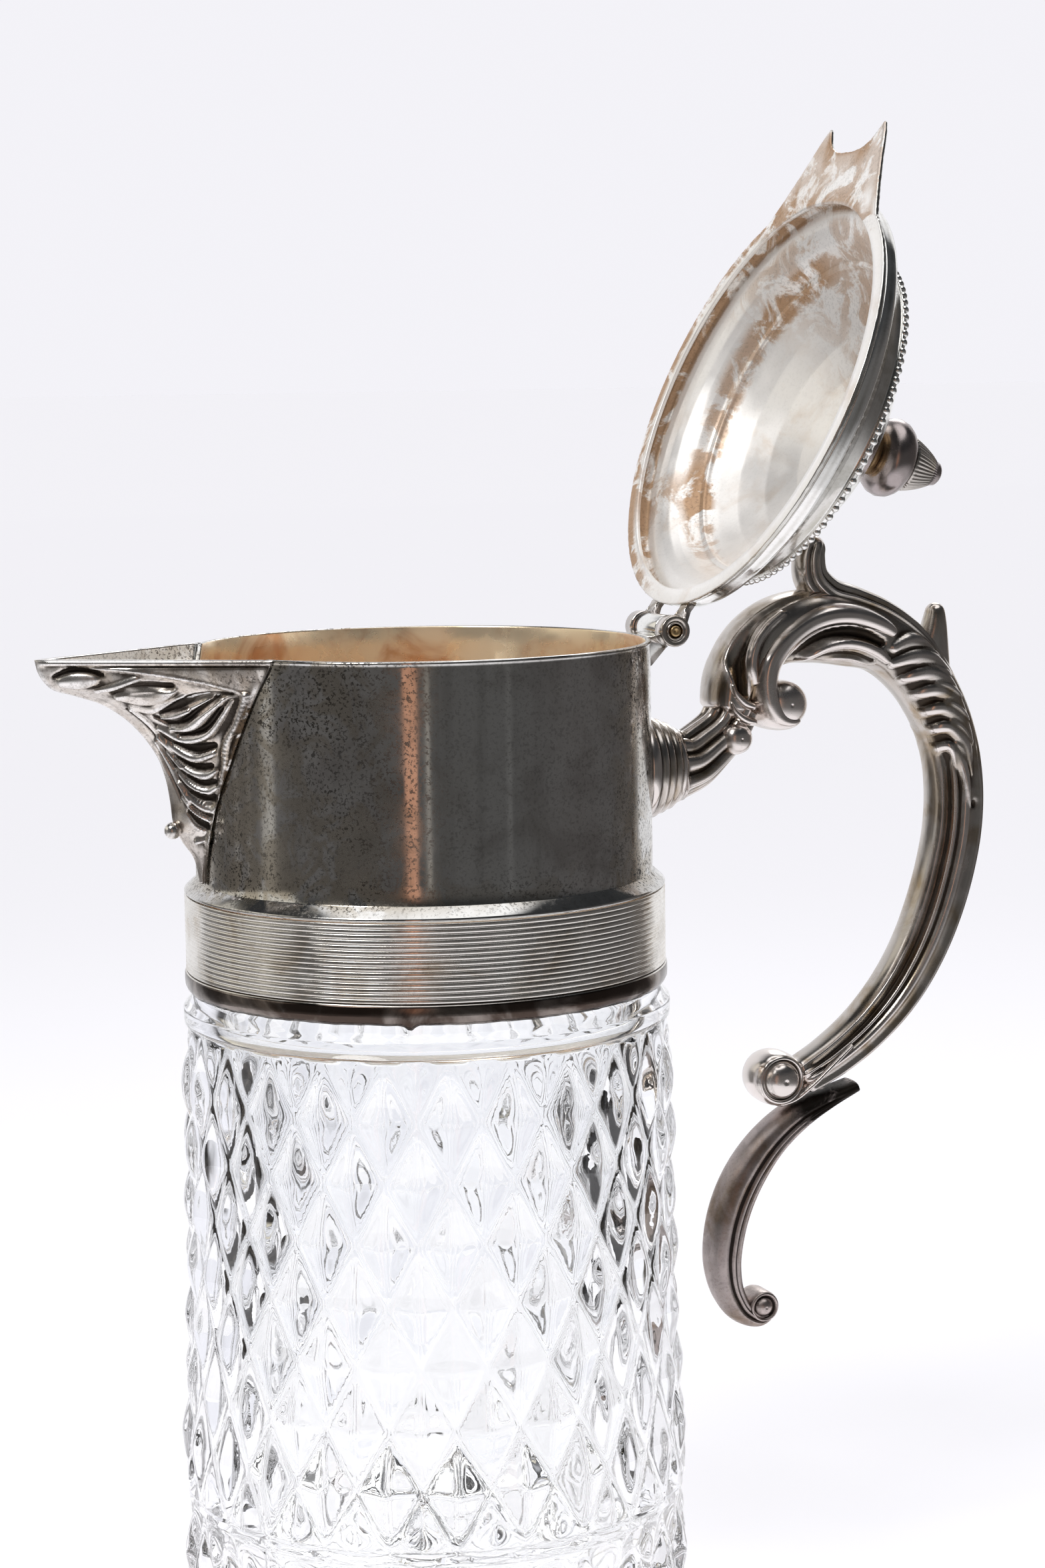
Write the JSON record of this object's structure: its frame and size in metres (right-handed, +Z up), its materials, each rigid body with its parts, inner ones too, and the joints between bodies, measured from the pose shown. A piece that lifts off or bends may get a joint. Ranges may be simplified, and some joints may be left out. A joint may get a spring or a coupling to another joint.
{
  "type": "pitcher",
  "caption": "Diamond-cut glass water pitcher with a silver-plated collar, cast pouring spout, hinged beaded dome lid with a knop, and an open scrolled side handle.",
  "frame": {"origin": "centre of the glass foot's underside, on the table", "axes": "+Z up along the body's axis, -X towards the spout, +X towards the handle and the lid's hinge, XZ is the plane of symmetry"},
  "size_m": [0.1919, 0.0972, 0.2844],
  "materials": {
    "glass": "clear cut crystal, polished facets",
    "plaster": "set plaster, hidden under the band",
    "silver_plate": "polished silver plate with grey-green and brown tarnish",
    "silver_cast": "cast silver plate, dark antique recesses and worn bright ridges",
    "brass": "dull bare brass"
  },
  "bodies": {
    "pitcher": {"glass_body": "glass", "cement_ring": "plaster", "collar_barrel": "silver_plate", "collar_band": "silver_plate", "spout": "silver_cast", "handle_cuff": "silver_cast", "handle_neck": "silver_cast", "handle_scroll": "silver_cast", "handle_leaf": "silver_cast", "handle_tail": "silver_cast", "hinge_bracket": "silver_cast", "hinge_pin": "brass"},
    "lid": {"lid_flange": "silver_plate", "lid_shell": "silver_plate", "lid_bead_ring": "silver_plate", "lid_ear_near": "silver_cast", "lid_ear_far": "silver_cast", "finial_stud": "brass", "finial_knop": "silver_cast"}
  },
  "joints": [
    {"name": "lid_hinge", "type": "hinge", "parent": "pitcher", "child": "lid", "pos_m": [0.0485, 0, 0.1886], "axis": [0, 1, 0], "range_deg": [-114.4, 0]}
  ]
}
